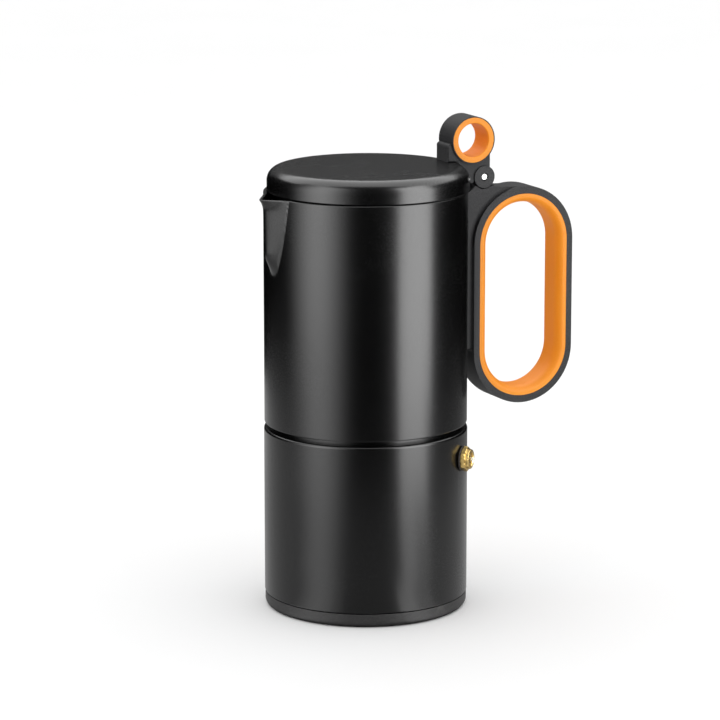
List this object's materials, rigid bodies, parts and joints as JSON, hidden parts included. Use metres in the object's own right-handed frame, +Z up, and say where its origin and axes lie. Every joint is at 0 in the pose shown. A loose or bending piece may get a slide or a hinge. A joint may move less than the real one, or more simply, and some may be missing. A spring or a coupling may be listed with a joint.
{
  "type": "moka pot",
  "caption": "Stove-top moka pot: screwed-on coffee chamber over a boiler, hinged lid with a ring to lift it, looped handle, safety valve, funnel, gasket and filter plate inside",
  "frame": {"origin": "on the pot's axis, on the flat underside that it stands on", "axes": "+Z up along the pot's axis, +X towards the handle with the spout at -X, +Y across"},
  "size_m": [0.1513, 0.0906, 0.2172],
  "materials": {
    "satin_black": "satin black coating on metal, soft wide highlights",
    "base_finish": "matt black coating on the steel base disc",
    "black_plastic": "matt black moulded plastic with a fine grain",
    "orange_liner": "smooth orange soft plastic",
    "valve_brass": "machined brass",
    "bright_steel": "bright turned steel",
    "bare_aluminium": "bare pressed and cast aluminium",
    "pale_seal": "pale silicone rubber",
    "dark_seal": "dark rubber"
  },
  "bodies": {
    "boiler": {"boiler": "satin_black", "induction_base": "base_finish", "valve_body": "valve_brass", "valve_washer": "dark_seal", "valve_nut": "valve_brass", "valve_spring": "bright_steel", "valve_retainer": "valve_brass"},
    "valve_piston": {"valve_piston": "bright_steel"},
    "funnel": {"funnel": "bare_aluminium", "funnel_sieve": "bare_aluminium"},
    "gasket": {"gasket": "pale_seal"},
    "filter_plate": {"filter_plate": "bare_aluminium"},
    "chamber": {"chamber": "satin_black", "brew_column": "bare_aluminium", "handle": "black_plastic", "handle_liner": "orange_liner", "handle_screw_upper": "bright_steel", "handle_screw_lower": "bright_steel", "handle_seal_upper": "dark_seal", "handle_seal_lower": "dark_seal", "handle_insert_upper": "valve_brass", "handle_insert_lower": "valve_brass", "hinge_pin": "bright_steel"},
    "lid": {"lid": "satin_black", "lid_arm": "black_plastic", "lid_ring_liner": "orange_liner", "lid_screw_near": "bright_steel", "lid_screw_far": "bright_steel", "lid_washer_near": "bright_steel", "lid_washer_far": "bright_steel"}
  },
  "joints": [
    {"name": "valve_lift", "type": "slide", "parent": "boiler", "child": "valve_piston", "axis": [0.6884, -0.7254, 0], "range_m": [0, 0.0015], "stiffness_N_per_m": 400, "springref_m": -0.003, "deforming": ["valve_spring"]},
    {"name": "funnel_lift", "type": "slide", "parent": "boiler", "child": "funnel", "axis": [0, 0, 1], "range_m": [0, 0.085]},
    {"name": "chamber_lift", "type": "slide", "parent": "funnel", "child": "gasket", "axis": [0, 0, 1], "range_m": [0, 0.08]},
    {"name": "thread_rise", "type": "slide", "parent": "gasket", "child": "filter_plate", "axis": [0, 0, 1], "range_m": [0, 0.006]},
    {"name": "chamber_unscrew", "type": "hinge", "parent": "filter_plate", "child": "chamber", "pos_m": [0, 0, 0.09], "axis": [0, 0, 1], "range_deg": [0, 720]},
    {"name": "lid_hinge", "type": "hinge", "parent": "chamber", "child": "lid", "pos_m": [0.0561, 0, 0.1897], "axis": [0, 1, 0], "range_deg": [0, 92]}
  ],
  "couplings": [
    {"joint": "thread_rise", "follows": "chamber_unscrew", "m_per_rad": 0.00047746}
  ]
}
